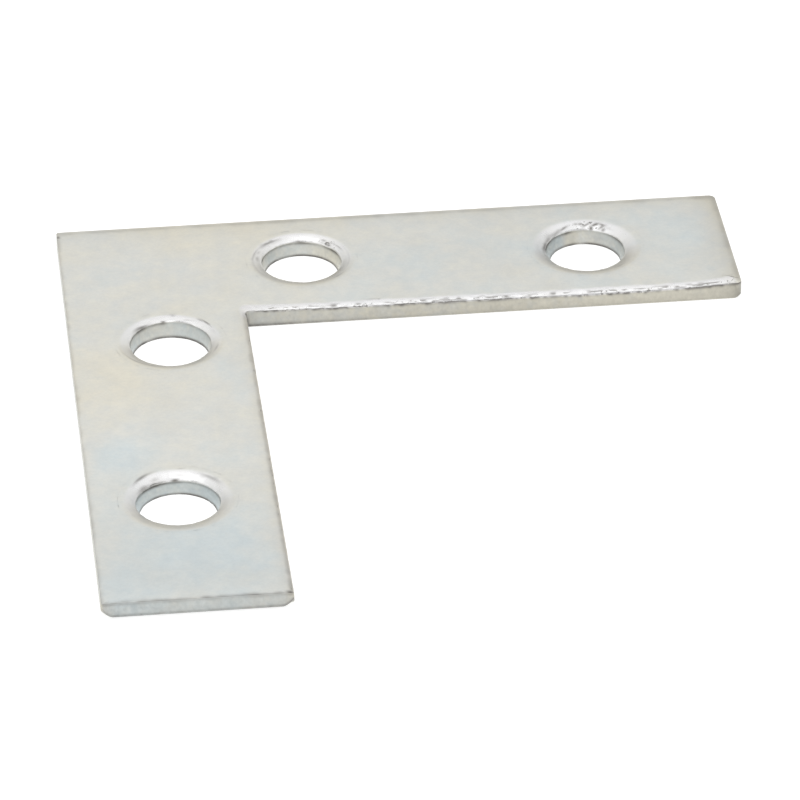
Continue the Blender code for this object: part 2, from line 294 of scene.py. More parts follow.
class HoleSizes(bpy.types.PropertyGroup):
    """Places and sizes of the four countersunk screw holes."""

    x_inner_place: lengths("X inner hole", "Its centre", (0.00863, 0.00048))
    x_outer_place: lengths("X outer hole", "Its centre", (0.02479, 0.00004))
    y_inner_place: lengths("Y inner hole", "Its centre", (0.00057, -0.00761))
    y_outer_place: lengths("Y outer hole", "Its centre", (-0.00028, -0.02359))
    x_inner_sink: lengths("X inner sink", "Its diameter, depth and lean", (0.0059, 0.00024, 0.000015))
    x_outer_sink: lengths("X outer sink", "Its diameter, depth and lean", (0.0062, 0.00029, -0.00003))
    y_inner_sink: lengths("Y inner sink", "Its diameter, depth and lean", (0.0058, 0.000175, -0.000055))
    y_outer_sink: lengths("Y outer sink", "Its diameter, depth and lean", (0.0060, 0.00026, 0.00008))
    x_inner_foot: length("X inner foot", "Its diameter at the underside", 0.00414)
    x_outer_foot: length("X outer foot", "Its diameter at the underside", 0.00400)
    y_inner_foot: length("Y inner foot", "Its diameter at the underside", 0.00420)
    y_outer_foot: length("Y outer foot", "Its diameter at the underside", 0.00416)
    top_diameter: length("Top diameter", "Diameter of each hole's wall under its countersink", 0.0045)
    drift: length("Drift", "How far each hole's foot lies towards -Y from its top", 0.00012)


class Finish(bpy.types.PropertyGroup):
    """Colours of the zinc plating and of the cut edges."""

    zinc: colour("Zinc", "Plating where it has no tint", (0.782, 0.785, 0.742))
    zinc_cool: colour("Cool zinc", "Plating where its film is bluish", (0.722, 0.785, 0.795))
    zinc_warm: colour("Warm zinc", "Plating where its film is yellowish", (0.815, 0.785, 0.682))
    # bright: colour of burnished plating, also used as a painted sheen on the rolled edges and the dishes
    bright: colour("Bright", "Plating burnished by the press", (0.845, 0.840, 0.855))
    # Dark colour of pits and cracks, also used for painted shade: lines along the sharp edges, contact
    # shadows at the walls' feet, shadows under the holes' lips, in the crease under the roll and in the
    # concave corner, and dark reflections in the dishes
    recess: colour("Recess", "Plating in pits, cracks and along the sharp lines", (0.172, 0.162, 0.150))
    roughness: share("Roughness", "Roughness of the plated faces", 0.34)
    cut_roughness: share("Cut roughness", "Roughness of the cut walls", 0.55)


class StageSettings(bpy.types.PropertyGroup):
    """Floor, light and camera."""

    floor: colour("Floor", "Colour of the floor", (0.60, 0.60, 0.60))
    floor_glow: level("Floor glow", "Light that the floor shows by itself", 0.66)
    horizon: level("Horizon", "Light level at the horizon", 0.55)
    overhead: level("Overhead", "Light level straight overhead", 1.16)
    below: level("Below", "Light level under the floor", 0.80)
    key: level("Key lamp", "Strength of the soft lamp over the plate, in watts", 0.10)
    azimuth: bearing("Azimuth", "Camera's turn round the plate", -6.40152)
    elevation: bearing("Elevation", "Camera's height angle", 32.0907)
    roll: bearing("Roll", "Camera's roll to the left", -0.05352)
    target: FloatVectorProperty(
        name="Target", description="Point that the camera looks at", default=(0.01248513, -0.01515245, 0.001),
        size=3, precision=5, subtype="TRANSLATION",
    )
    distance: length("Distance", "From the camera to the target", 0.30810337)
    lens: FloatProperty(name="Lens", description="Focal length in millimetres", default=255.042, min=1.0)


def smooth_step(part):
    """0 at 0 and 1 at 1, level at both ends: three squares less two cubes."""
    part = np.clip(part, 0.0, 1.0)
    return part * part * (3 - 2 * part)


def between(first, last, part):
    """The value at that part of the way from first to last."""
    return first + (last - first) * part


def lattice_noise(across, along, seed, period=512):
    """Smooth noise from -1 to 1: random numbers on whole-number places, blended by smooth steps.

    It repeats after the period in the first direction, so that it closes round a hole.
    """
    table = np.random.default_rng(seed).uniform(-1.0, 1.0, (period, TABLE_WIDTH))
    i, j = np.floor(across).astype(int), np.floor(along).astype(int)
    u, v = smooth_step(across - i), smooth_step(along - j)
    rows, columns = (i % period, (i + 1) % period), (j % TABLE_WIDTH, (j + 1) % TABLE_WIDTH)
    near = between(table[rows[0], columns[0]], table[rows[1], columns[0]], u)
    far = between(table[rows[0], columns[1]], table[rows[1], columns[1]], u)
    return between(near, far, v)


def grid_faces(rows, columns, start):
    """Quads between neighbouring rows of a grid whose columns close into a ring, counted from start."""
    row = np.arange(rows - 1)[:, None] * columns + start
    here = np.arange(columns)[None, :]
    after = (here + 1) % columns
    corners = np.stack([row + here, row + columns + here, row + columns + after, row + after], axis=-1)
    return corners.reshape(-1, 4)


class Outline:
    """The L's outline as six sides, counter-clockwise from the outer corner, in millimetres."""

    def __init__(self, sizes):
        low, high, width = np.array(LOW[:2]) * MM, np.array(HIGH[:2]) * MM, sizes.leg_width * MM
        inner = (low[0] + width, high[1] - width)
        self.corners = np.array([
            (low[0], low[1]), (inner[0], low[1]), inner,
            (high[0], inner[1]), (high[0], high[1]), (low[0], high[1]),
        ])
        tip_x, tip_y = sizes.x_tip_corner * MM, sizes.y_tip_corner * MM
        self.radii = np.array([tip_y, tip_y, sizes.inner_corner * MM, tip_x, tip_x, sizes.outer_corner * MM])
        self.rolled = np.isin(np.arange(len(self.corners)), (INNER_RIGHT, INNER_FRONT))
        starts = np.roll(self.corners, 1, axis=0)
        self.lengths = np.linalg.norm(self.corners - starts, axis=1)
        self.along = (self.corners - starts) / self.lengths[:, None]
        self.inward = np.stack([-self.along[:, 1], self.along[:, 0]], axis=1)
        self.starts = starts

    def distance(self, x, y):
        """Distance from each point to each side: the gap to the nearest point of the side."""
        points = np.stack([x, y], axis=-1)[..., None, :]
        reach = np.clip(((points - self.starts) * self.along).sum(-1), 0.0, self.lengths)
        return np.linalg.norm(points - self.starts - reach[..., None] * self.along, axis=-1)


def side_marks(side_length, spacing):
    """Shares of a side where the surface has columns: close together near both ends, even in between."""
    near = np.arange(END_SPACING, END_ZONE, min(END_SPACING, spacing))
    count = max(2, round((side_length - 2 * END_ZONE) / spacing))
    middle = np.linspace(END_ZONE, side_length - END_ZONE, count)
    return np.concatenate([near, middle, side_length - near[::-1]]) / side_length


def carry_round(outline, insets, spacings):
    """Carries rows of points round the L, each row moved in by its own inset from each side.

    Between two corners a column is at a share of the straight run. At a corner it is on an arc, whose radius
    shrinks on a convex corner and grows on the concave one as the sides move in. Returns x and y as
    (rows, columns), and for each column its side, its share of the turn, its run along the L and the
    direction out of the plate.
    """
    count = len(outline.corners)
    after = (np.arange(count) + 1) % count
    moved = (
        outline.corners
        + insets[:, :, None] * outline.inward
        + insets[:, after, None] * outline.inward[after]
    )
    shrink = outline.radii - np.minimum(insets, insets[:, after])
    radii = np.maximum(shrink, outline.radii / 2)
    grown = outline.radii + np.maximum(insets, insets[:, after])
    radii[:, CONCAVE_CORNER] = grown[:, CONCAVE_CORNER]
    points, sides, ways, runs, outs = [], [], [], [], []
    travelled = 0.0
    for side in range(count):
        into, out = outline.along[side], outline.along[after[side]]
        first = moved[:, side - 1] + into * radii[:, side - 1, None]
        last = moved[:, side] - into * radii[:, side, None]
        dish_shade = side_marks(outline.lengths[side], spacings[side])
        points.append(between(first[:, None], last[:, None], dish_shade[None, :, None]))
        sides.append(np.full(len(dish_shade), side))
        ways.append(np.zeros(len(dish_shade)))
        runs.append(travelled + dish_shade * outline.lengths[side])
        outs.append(np.repeat(-outline.inward[side][None], len(dish_shade), axis=0))
        travelled += outline.lengths[side]
        way = np.linspace(0.0, 1.0, CORNER_STEPS + 1)
        turn = way * math.pi / 2
        swing = into * np.sin(turn)[:, None] - out * np.cos(turn)[:, None]
        centre = last + out * radii[:, side, None]
        points.append(centre[:, None] + radii[:, side, None, None] * swing[None])
        sides.append(np.full(len(way), side))
        ways.append(way)
        runs.append(travelled + (way - 0.5) * CORNER_RUN)
        outs.append(-swing if side == CONCAVE_CORNER else swing)
    points = np.concatenate(points, axis=1)
    return (
        points[..., 0], points[..., 1], np.concatenate(sides), np.concatenate(ways),
        np.concatenate(runs), np.concatenate(outs),
    )


def lift(outline, sizes, x, y):
    """How far the underside turns up at the free corners.

    Nearness to the corner and what is missing of the full height, as shares, lie on a superellipse. At the
    front left corner it goes further along Y.
    """
    lifts = {
        Y_TIP_LEFT: sizes.y_tip_lift, Y_TIP_RIGHT: sizes.y_tip_lift,
        X_TIP_FRONT: sizes.x_tip_lift, X_TIP_FAR: sizes.x_tip_lift,
    }
    height = np.zeros_like(x)
    for corner, (reach, top) in lifts.items():
        along_y = (y - outline.corners[corner, 1]) * (LONG_LIFT if corner == Y_TIP_LEFT else 1.0)
        near = np.clip(1 - np.hypot(x - outline.corners[corner, 0], along_y) / (reach * MM), 0, 1)
        height += top * MM * (1 - (1 - near**LIFT_POWER) ** (1 / LIFT_POWER))
    return height


def top_height(outline, sizes, x, y):
    """Height of the top face: level, less a fall towards each side that dies away with distance from it."""
    gap = outline.distance(x, y)
    fall = np.exp(-gap / (sizes.face_reach * MM)).sum(-1) * sizes.face_drop * MM
    wave = FACE_WAVE * lattice_noise(x / WAVE_LENGTH + 40, y / WAVE_LENGTH + 40, 11)
    return HIGH[2] * MM - FACE_WAVE - np.minimum(fall, 3 * sizes.face_drop * MM) + wave


def bell(value, middle, width):
    """1 at the middle: e to the minus square of the distance from it over the width."""
    return np.exp(-(((value - middle) / width) ** 2))


def patches(x, y, table):
    """Sum of oval patches: amount times e to the minus squares of the distances over the patch's widths."""
    total = np.zeros_like(x)
    for at_x, at_y, wide, deep, amount in table:
        total += amount * np.exp(-(((x - at_x) / wide) ** 2) - ((y - at_y) / deep) ** 2)
    return total


def film_tint(x, y):
    """Tint of the plating's film, from -1 (cool) to 1 (warm): oval patches and slow noise."""
    tint = patches(x, y, TINT_PATCHES) + (
        0.22 * lattice_noise(x / 2.2 + 50, y / 2.2 + 50, 21)
        + 0.16 * lattice_noise(x / 0.8 + 90, y / 0.8 + 90, 22)
    )
    return np.clip(tint, -1, 1)


def face_tones(outline, x, y):
    """Painted shade lines, shade and tint of the top face: oval patches, and the tones of its sides.

    Each side adds a dark line of painted shade, a bell at its own distance from the side, and a softer
    painted shade and a tint, which fall off as e to the minus distance. Noise along the side makes the line
    waver in strength and width.
    """
    gap = outline.distance(x, y)
    recess, tint = np.zeros_like(x), np.zeros_like(x)
    shade = 1 + patches(x, y, SHADE_PATCHES) + 0.012 * lattice_noise(x / 1.4 + 70, y / 1.4 + 70, 32)
    for side, (line, place, line_width, band, band_width, warmth) in enumerate(SIDE_TONES):
        run = (x * outline.along[side, 0] + y * outline.along[side, 1]) / 0.42 + 200
        own_row = np.full_like(run, side)
        waver = lattice_noise(run, own_row, 31) + 0.5 * lattice_noise(run / 3, own_row, 33)
        width = line_width * (1 + 0.35 * waver)
        recess = np.maximum(recess, line * (1 + 0.45 * waver) * bell(gap[..., side], place, width))
        fade = np.exp(-gap[..., side] / band_width)
        shade = shade * (1 - band * fade)
        tint = tint + warmth * fade
    return recess, shade, tint


class Surface:
    """Collects grids of vertices, their faces and the values that the plating reads."""

    def __init__(self):
        self.points, self.quads, self.triangles = [], [], []
        self.values = {"tint": [], "shade": [], "dull": [], "recess": [], "fleck": [], "burnish": []}
        self.count = 0

    def add_points(self, x, y, z, **values):
        """Adds vertices and returns the number of the first one."""
        start = self.count
        self.points.append(np.stack([x, y, z], axis=-1).reshape(-1, 3))
        for name, kept in self.values.items():
            kept.append(np.broadcast_to(values.get(name, 0.0), x.shape).reshape(-1).astype(np.float32))
        self.count += x.size
        return start

    def add_ring_grid(self, x, y, z, **values):
        """Adds a grid that closes into a ring and returns the numbers of its first and its last row."""
        start = self.add_points(x, y, z, **values)
        rows, columns = x.shape
        self.quads.append(grid_faces(rows, columns, start))
        last = start + (rows - 1) * columns
        return np.arange(start, start + columns), np.arange(last, last + columns)

    def all_points(self):
        """All vertices so far, one in a row, in millimetres."""
        return np.concatenate(self.points)


def edge_rows():
    """Rows of the edge's profile from the top face to the underside.

    A row is the number of its stretch (0 over the face, 1 top round, 2 wall, 3 foot round, 4 underneath) plus
    its part of the way through it. On the face rows close up towards the round: one less the rest of the way
    to the power of 2.2. On the wall they close up towards both ends: half of one less the cosine.
    """
    face = 1 - np.linspace(1.0, 0.0, 9, endpoint=False) ** 2.2
    top_round = 1 + np.linspace(0.0, 1.0, 15, endpoint=False)
    wall = 2.5 - 0.5 * np.cos(np.linspace(0.0, math.pi, 11, endpoint=False))
    foot_round = 3 + np.linspace(0.0, 1.0, 5, endpoint=False)
    under = 4 + np.linspace(0.0, 1.0, 4)
    return np.concatenate([face, top_round, wall, foot_round, under])


def make_edges(surface, outline, sizes):
    """The plate's edges: a profile carried round the L.

    Over the face the inset shrinks to the round's reach. A round is a quarter ellipse: inset is reach times
    one less the sine, and drop is depth times one less the cosine. The wall runs straight from the top round
    to the foot round. On the front inner edge, bells in X change the roll's reach and depth and set back the
    top of the wall. Noise in the run and in the row roughens rolls and walls. Tones are blended along each
    side, and marked by bells in the row, the height and the distance from a corner: painted shade at the
    wall's top and foot, in the crease under the roll and in the concave corner, a painted highlight on the
    sharp edges, and a painted sheen on the burnished roll.
    """
    rows = edge_rows()
    row = rows[:, None]
    stretch = [np.clip(rows - number, 0.0, 1.0) for number in range(5)]
    inner = outline.rolled
    broken = sizes.edge_break * MM
    top_reach = np.where(inner, sizes.roll_reach * MM, broken)
    top_depth = np.where(inner, sizes.roll_depth * MM, broken)
    foot_reach = np.where(inner, broken, sizes.foot_reach * MM)
    foot_depth = np.where(inner, broken, sizes.foot_depth * MM)
    turn = stretch[1] * math.pi / 2
    back = stretch[3] * math.pi / 2
    insets = np.where(
        (rows <= 2)[:, None],
        between(FACE_INSET, top_reach[None], stretch[0][:, None]) - top_reach * np.sin(turn)[:, None],
        foot_reach * (1 - np.cos(back))[:, None],
    )
    insets = np.where((rows > 4)[:, None], between(foot_reach, UNDER_INSET, stretch[4][:, None]), insets)
    x, y, sides, ways, run, out = carry_round(outline, insets, SIDE_SPACINGS)
    after = (sides + 1) % len(outline.corners)
    blend = smooth_step(ways)

    def by_side(values):
        """The value of each column's side, blended into that of the next side round the corner."""
        return between(np.asarray(values)[sides], np.asarray(values)[after], blend)[None]

    def noise(spacing, row_scale, seed):
        """Smooth noise: one random number in each spacing of the run, and row_scale of them in a stretch."""
        return lattice_noise(run / spacing, row * row_scale, seed)

    rolled = by_side(inner.astype(float))
    up = by_side(foot_depth) * (1 - np.sin(back))[:, None]
    part = stretch[2][:, None]
    run = run[None]

    # Noise and places of the relief
    coarse = noise(0.16, 6.0, 3)
    fleck = coarse + 0.6 * noise(0.08, 11.0, 4)
    patchy = noise(1.1, 0.0, 5) + 0.5 * noise(0.4, 0.0, 8)
    rough = noise(0.35, 3.0, 6) + noise(0.12, 5.0, 7)
    front_roll = by_side([int(side == INNER_FRONT) for side in range(6)])
    on_wall = smooth_step(np.minimum((rows - 1.9) / 0.2, (3.1 - rows) / 0.2))[:, None]
    on_roll = smooth_step(np.minimum((rows - 0.93) / 0.3, (2.1 - rows) / 0.2))[:, None] * rolled
    pits = smooth_step((fleck + 0.4 * patchy - 0.55) / 0.6)
    pits = pits * np.maximum(bell(row, 1.55, 0.13), bell(row, 1.9, 0.1))
    push = -PIT_DEPTH * pits * rolled + WALL_GRAIN * rough * on_wall + ROLL_GRAIN * fleck * on_roll
    push = push - CREASE * bell(row, 2.0, 0.06) * rolled

    # Shape of the profile
    slope = np.clip(row - 1, 0, 1) * math.pi / 2
    growth = sum(amount * bell(x, place, width) for place, width, amount, _ in ROLL_CHANGES)
    growth = (growth + 0.03 + 0.05 * noise(0.6, 0.0, 17)) * front_roll
    deeper = sum(amount * bell(x, place, width) for place, width, _, amount in ROLL_CHANGES)
    deeper = (deeper + 0.10 * noise(0.5, 0.0, 20)) * front_roll
    down = by_side(top_depth) * (1 + deeper) * (1 - np.cos(turn))[:, None]
    lean = sum(amount * bell(x, place, width) for place, width, amount in WALL_LEANS) * front_roll
    move = push * np.sin(slope) - growth * stretch[0][:, None] * (1 - np.sin(slope))
    move = move - lean * stretch[0][:, None] * (1 - part)
    x = x + move * out[None, :, 0]
    y = y + move * out[None, :, 1]
    top = top_height(outline, sizes, x, y) - down + push * np.cos(slope)
    foot = lift(outline, sizes, x, y) + up
    z = between(top, foot, part)

    # Shade and tint
    line, shade, tint = face_tones(outline, x, y)
    on_face = smooth_step((2.1 - row) / 0.2)
    shares = (run - np.concatenate([[0], np.cumsum(outline.lengths)])[sides]) / outline.lengths[sides]
    top_line, wear_and_edge_light, mottling, seam_shade_strength = (by_side(column) for column in zip(*EDGE_TONES))
    half = np.clip(2 * shares, 0, 2)
    early, late = np.minimum(half, 1), np.maximum(half - 1, 0)
    wall_shade, wall_tint, foot_shadow = (
        first + (middle - first) * early * (1 - blend) + (last - middle) * late * (1 - blend)
        for first, middle, last in (map(by_side, tone) for tone in np.array(WALL_TONES).T)
    )
    foot_shadow = foot_shadow + 0.35 * front_roll * np.exp(-shares / 0.06) * (1 - blend)
    mottle = noise(0.30, 4.0, 18) + 0.6 * noise(0.14, 8.0, 19)
    gaps = [np.hypot(x - corner[0], y - corner[1]) for corner in outline.corners]
    left_gap, tip_gap, inner_gap = gaps[Y_TIP_LEFT], gaps[X_TIP_FRONT], gaps[CONCAVE_CORNER]
    lifted = bell(np.minimum(left_gap, gaps[Y_TIP_RIGHT]), 0.0, 0.60)
    wall_shade = wall_shade * (1 + 0.030 * rough + 0.030 * mottle)
    wall_shade = wall_shade * (1 - 0.10 * lifted - 0.32 * bell(tip_gap, 0.0, 0.5))
    wall_shade = wall_shade * (1 + WALL_RISE * front_roll * (1 - 2 * part))
    # Painted highlight: the sharp edges are lighter over the rows next to the wall's top
    shade = between(wall_shade, shade, on_face) * (1 + wear_and_edge_light * bell(row, 2.0, 0.5))
    wall_tint = wall_tint + mottling * mottle + 0.15 * patchy + 0.7 * lifted
    tint = between(wall_tint, tint + film_tint(x, y), on_face)

    # Dark lines of painted shade, pits and flecks
    # Painted contact shadow: a dark line along the foot of the wall
    foot_shadow = np.clip(foot_shadow + 0.14 * rough, 0.05, 1.1)
    at_foot = bell(z - foot, 0.03, 0.05 + 0.07 * foot_shadow) * smooth_step((row - 1.9) / 0.2)
    # Painted shade in the crease under the roll, broken along the run
    breaks = 0.76 + 0.50 * noise(0.20, 0.0, 12) + 0.40 * noise(0.9, 0.0, 13)
    seam_row = 1.96 + 0.06 * noise(0.25, 0.0, 14)
    seam_foot = between(0.09, 0.14, smooth_step(shares / 0.5))
    at_seam = bell(row, seam_row, np.where(row > seam_row, seam_foot, 0.15))
    seam_shade = np.clip(breaks, 0.20, 1) * at_seam * seam_shade_strength
    seam_shade = np.maximum(seam_shade, at_seam * bell(tip_gap, 0.2, 0.70))
    dashes = 1.3 * noise(0.34, 6.0, 15) + 0.6 * noise(1.3, 0.0, 16) - 0.25
    dashes = np.clip(dashes, 0, 0.75) * bell(row, 1.56, 0.24) * front_roll
    # Painted shade: a dark line at the top of the wall, which also darkens the sharp round's highlight
    at_top = bell(top - z, 0.05, 0.09 * (1 + 0.25 * patchy)) * smooth_step((row - 1.0) / 0.5)
    at_top = at_top * top_line * (1 + 0.30 * patchy + 0.15 * lifted + 0.6 * bell(left_gap, 0.0, 2.5))
    # Painted shade in the concave corner, and a weaker dark line at the X tip's front corner
    corner_line = on_wall * (0.9 * bell(inner_gap, 0.05, 0.11) + 0.30 * bell(tip_gap, 0.0, 0.25))
    under = smooth_step((row - 3.3) / 0.7)
    shade, tint = between(shade, 1.0, under), between(tint, 0.0, under)
    recess = (1 - under) * np.maximum.reduce([
        line * on_face + at_top, at_foot * np.minimum(foot_shadow, 1), seam_shade, dashes,
        pits * rolled * 0.8, corner_line, patches(x, y, DARK_SPOTS) * on_face,
    ])
    density = np.clip(0.60 + 0.35 * patchy, 0.1, 0.9)
    density = density * np.maximum(0.5 * bell(row, 1.58, 0.18), bell(row, 1.90, 0.14))
    density = density * between(0.35, 1.0, front_roll) * rolled
    # Burnish with a painted sheen on the roll, strongest on the front inner edge and round the concave corner
    shine = np.maximum(between(0.12, 1.0, front_roll), bell(inner_gap, 0.0, 0.5))
    return surface.add_ring_grid(
        x, y, z, tint=tint, shade=shade, dull=on_wall, recess=np.clip(recess, 0, 1), fleck=density,
        burnish=on_roll * shine * (1 - pits) * (1 - 0.6 * bell(tip_gap, 0.0, 0.80)),
    )


def make_hole(surface, outline, sizes, holes, name, seed):
    """One screw hole: a profile turned round its upright axis.

    From outside in: a ring on the top face, a dish whose depth is the square of the way to the wall, a small
    round over the lip, a wall that narrows downwards, and a ring under the plate. The dish leans: its depth
    changes with the sine of the angle. Noise that closes round the hole roughens the dish, the lip and the
    wall. Painted dark reflections and shade in the dish are bells in the angle and the radius. Painted
    shadows lie under the lip and along the foot. The dish's near side is painted darker and warmer as shade,
    by the sine of the angle to the power of 0.7, and the burnished dish gets a painted sheen towards its far
    side. Returns the first and the last loop, and centre and radius of each.
    """
    centre = np.array(getattr(holes, name + "_place")) * MM
    sink_diameter, sink_depth, lean = np.array(getattr(holes, name + "_sink")) * MM
    rim, throat = sink_diameter / 2, holes.top_diameter * MM / 2
    foot = getattr(holes, name + "_foot") * MM / 2
    drift = holes.drift * MM
    angle = -np.arange(HOLE_COLUMNS) * 2 * math.pi / HOLE_COLUMNS
    depth = sink_depth + lean * np.sin(angle)
    rows = np.concatenate([
        number + np.linspace(0.0, 1.0, count, endpoint=number == 4) for number, count in enumerate(HOLE_ROWS)
    ])
    row = rows[:, None]
    parts = [np.clip(rows - number, 0.0, 1.0) for number in range(5)]
    radius = between(rim + RIM_RING, rim, parts[0])
    radius = radius - (rim - throat - LIP) * parts[1] - LIP * np.sin(parts[2] * math.pi / 2)
    radius = radius - (throat - foot) * parts[3] + FOOT_RING * parts[4]
    way = np.clip((rim - radius) / (rim - throat), 0, 1 - LIP / (rim - throat))
    over = (1 - np.cos(parts[2] * math.pi / 2))[:, None]
    drop = between(depth * (way**2)[:, None], depth + LIP, over)

    steps = angle[None] * 24 / (2 * math.pi)
    chatter = lattice_noise(steps * 3, row * 5.0, seed, period=72)
    slow = lattice_noise(steps / 2, row * 2.0, seed + 1, period=12)
    torn = lattice_noise(steps, row * 1.0, seed + 2, period=24)
    on_dish = smooth_step(np.minimum((rows - 1.0) / 0.4, (2.8 - rows) / 0.4))[:, None]
    on_lip = bell(row, 2.5, 0.45)
    on_wall = smooth_step(np.minimum((rows - 2.7) / 0.3, (4.2 - rows) / 0.2))[:, None]
    push = on_dish * (DISH_CHATTER * chatter + DISH_WAVE * slow) + on_wall * BORE_GRAIN * chatter
    push = push + on_lip * (LIP_TEAR * torn + LIP_CHATTER * chatter)
    reach = radius[:, None] + push * np.where(rows > 2.4, 1.0, 0.35)[:, None]
    x = centre[0] + reach * np.cos(angle)
    y = centre[1] + reach * np.sin(angle) - drift * parts[3][:, None]
    top = top_height(outline, sizes, x, y) - drop + push * np.where(rows < 2.6, 1.0, 0.0)[:, None]
    z = between(top, 0.0, parts[3][:, None])
    z = np.where(row >= 4, 0.0, z)

    degrees = np.degrees(angle)[None]

    def turn_from(place):
        """Angle round the hole from that place, in degrees from -180 to 180."""
        return (degrees - place + 180) % 360 - 180

    # Painted dark reflections and shade in the dish
    dish_shade = np.zeros_like(x)
    for at, wide, at_radius, high, growth, strength in SINK_SHADES[name]:
        off = turn_from(at)
        dish_shade_mark = bell(radius[:, None] - growth * off / 10, at_radius, high * (1 + 0.4 * chatter))
        dish_shade_mark = strength * bell(off, 0.0, wide) ** 0.5 * dish_shade_mark * (off**2 < (2.5 * wide) ** 2)
        dish_shade = np.maximum(dish_shade, dish_shade_mark)
    at, wide, at_radius, high, strength = SINK_FLECKS[name]
    above = smooth_step((3.2 - row) / 0.3)
    far, near = np.clip(np.sin(angle), 0, 1)[None], np.clip(-np.sin(angle), 0, 1)[None]
    at_angle, *tones = (np.array(column, float) for column in zip(*HOLE_TONES[name]))
    lip, wall_shade, wall_tint = (np.interp(degrees % 360, at_angle, tone, period=360.0) for tone in tones)
    density = strength * bell(turn_from(at), 0.0, wide) * bell(radius[:, None], at_radius, high) * above
    # Painted shadow under the lip, and painted contact shadow along the hole's foot
    lip_shadow = bell(row, 3.0, 0.08 + 0.06 * lip) * lip
    lip_shadow = lip_shadow * np.clip(1.05 + 0.35 * torn + 0.25 * chatter, 0.3, 1.3)
    foot_shadow = np.clip(1.4 * bell(row, 4.0, 0.12), 0, 1) * np.clip(0.85 + 0.30 * torn + 0.15 * slow, 0.3, 1)
    # Painted shade on the dish's near side
    near_shade_line = bell(row, 2.0, 0.5) * near * 0.06
    recess = np.clip(np.maximum.reduce([lip_shadow, foot_shadow, dish_shade * above, near_shade_line]), 0, 1)
    _, shade, tint = face_tones(outline, x, y)
    shade = between(shade, wall_shade + 0.02 * slow + 0.03 * chatter, on_wall)
    tint = between(tint + film_tint(x, y), wall_tint + 0.2 * slow + 0.2 * chatter, on_wall)
    tint = between(tint, -0.2, 0.6 * on_dish * far)
    # The dish's near side painted darker and warmer, as shade
    near_side, on_sink = near**0.7, bell(row, 1.7, 0.9)
    near_shade, near_tint = NEAR_SINKS[name]
    shade = shade * (1 - near_shade * near_side * on_sink)
    tint = tint + near_tint * near_side * on_sink
    # Burnish with a painted sheen on the dish, stronger towards its far side
    loops = surface.add_ring_grid(
        x, y, z, tint=tint, shade=shade, dull=on_wall, recess=recess, fleck=density,
        burnish=on_dish * (0.5 + 0.5 * far) * (1 - 0.85 * near_side),
    )
    return loops, (centre, rim + RIM_RING), (centre - (0.0, drift), foot + FOOT_RING)


def fill_face(surface, outline, loops, rings, spacing, inset, heights, facing_up):
    """Fills a flat face between the edge's loop and the holes' rings.

    Rows of points with that spacing, every second row moved half a step, are kept where they lie clear of the
    outline and of the holes, and everything is joined by a Delaunay triangulation that keeps the loops.
    """
    fixed = np.concatenate(loops)
    known = surface.all_points()[fixed, :2]
    low, high = outline.corners.min(0), outline.corners.max(0)
    columns = np.arange(low[0], high[0], spacing)
    lines = np.arange(low[1], high[1], spacing * ROW_HEIGHT)
    x, y = np.meshgrid(columns, lines)
    x = x + (np.arange(len(lines)) % 2)[:, None] * spacing / 2
    x, y = x.reshape(-1), y.reshape(-1)
    corner = outline.corners[CONCAVE_CORNER]
    inside = outline.distance(x, y).min(-1) > inset + spacing * EDGE_CLEARANCE
    inside &= ~((x > corner[0]) & (y < corner[1]))
    inside &= (x < high[0]) & (y < high[1])
    for centre, radius in rings:
        inside &= np.hypot(x - centre[0], y - centre[1]) > radius + spacing * RING_CLEARANCE
    x, y = x[inside], y[inside]
    shade, tint = np.ones_like(x), np.zeros_like(x)
    if facing_up:
        _, shade, tint = face_tones(outline, x, y)
        tint = tint + film_tint(x, y)
    start = surface.add_points(x, y, heights(x, y), tint=tint, shade=shade)
    names = np.concatenate([fixed, np.arange(start, start + x.size)])
    places = np.concatenate([known, np.stack([x, y], axis=1)])
    edges, first = [], 0
    for loop in loops:
        ids = np.arange(first, first + len(loop))
        edges.append(np.stack([ids, np.roll(ids, -1)], axis=1))
        first += len(loop)
    found = geometry.delaunay_2d_cdt(
        [Vector(place) for place in places.tolist()], np.concatenate(edges).tolist(), [], 1, 1e-6
    )
    source = np.array([names[kept[0]] for kept in found[3]])
    where = np.array([tuple(place) for place in found[0]])
    triangles = np.array(found[2])
    middle = where[triangles].mean(1)
    keep = np.ones(len(triangles), bool)
    for centre, radius in rings:
        keep &= np.hypot(middle[:, 0] - centre[0], middle[:, 1] - centre[1]) > radius * 0.99
    triangles = source[triangles[keep]]
    surface.triangles.append(triangles if facing_up else triangles[:, ::-1])


def make_mesh(name, surface):
    """Puts the collected grids into one mesh, in metres, with the plating's values on its vertices."""
    points = surface.all_points()
    quads, triangles = np.concatenate(surface.quads), np.concatenate(surface.triangles)
    corners = np.concatenate([quads.reshape(-1), triangles.reshape(-1)])
    sizes = np.concatenate([np.full(len(quads), 4), np.full(len(triangles), 3)])
    mesh = bpy.data.meshes.new(name)
    mesh.vertices.add(len(points))
    mesh.vertices.foreach_set("co", (points / MM).astype(np.float32).reshape(-1))
    mesh.loops.add(len(corners))
    mesh.loops.foreach_set("vertex_index", corners.astype(np.int32))
    mesh.polygons.add(len(sizes))
    mesh.polygons.foreach_set("loop_start", np.concatenate([[0], np.cumsum(sizes)[:-1]]).astype(np.int32))
    mesh.polygons.foreach_set("use_smooth", np.ones(len(sizes), bool))
    for key, kept in surface.values.items():
        mesh.attributes.new(key, "FLOAT", "POINT").data.foreach_set("value", np.concatenate(kept))
    mesh.update(calc_edges=True)
    mesh.validate()
    return mesh


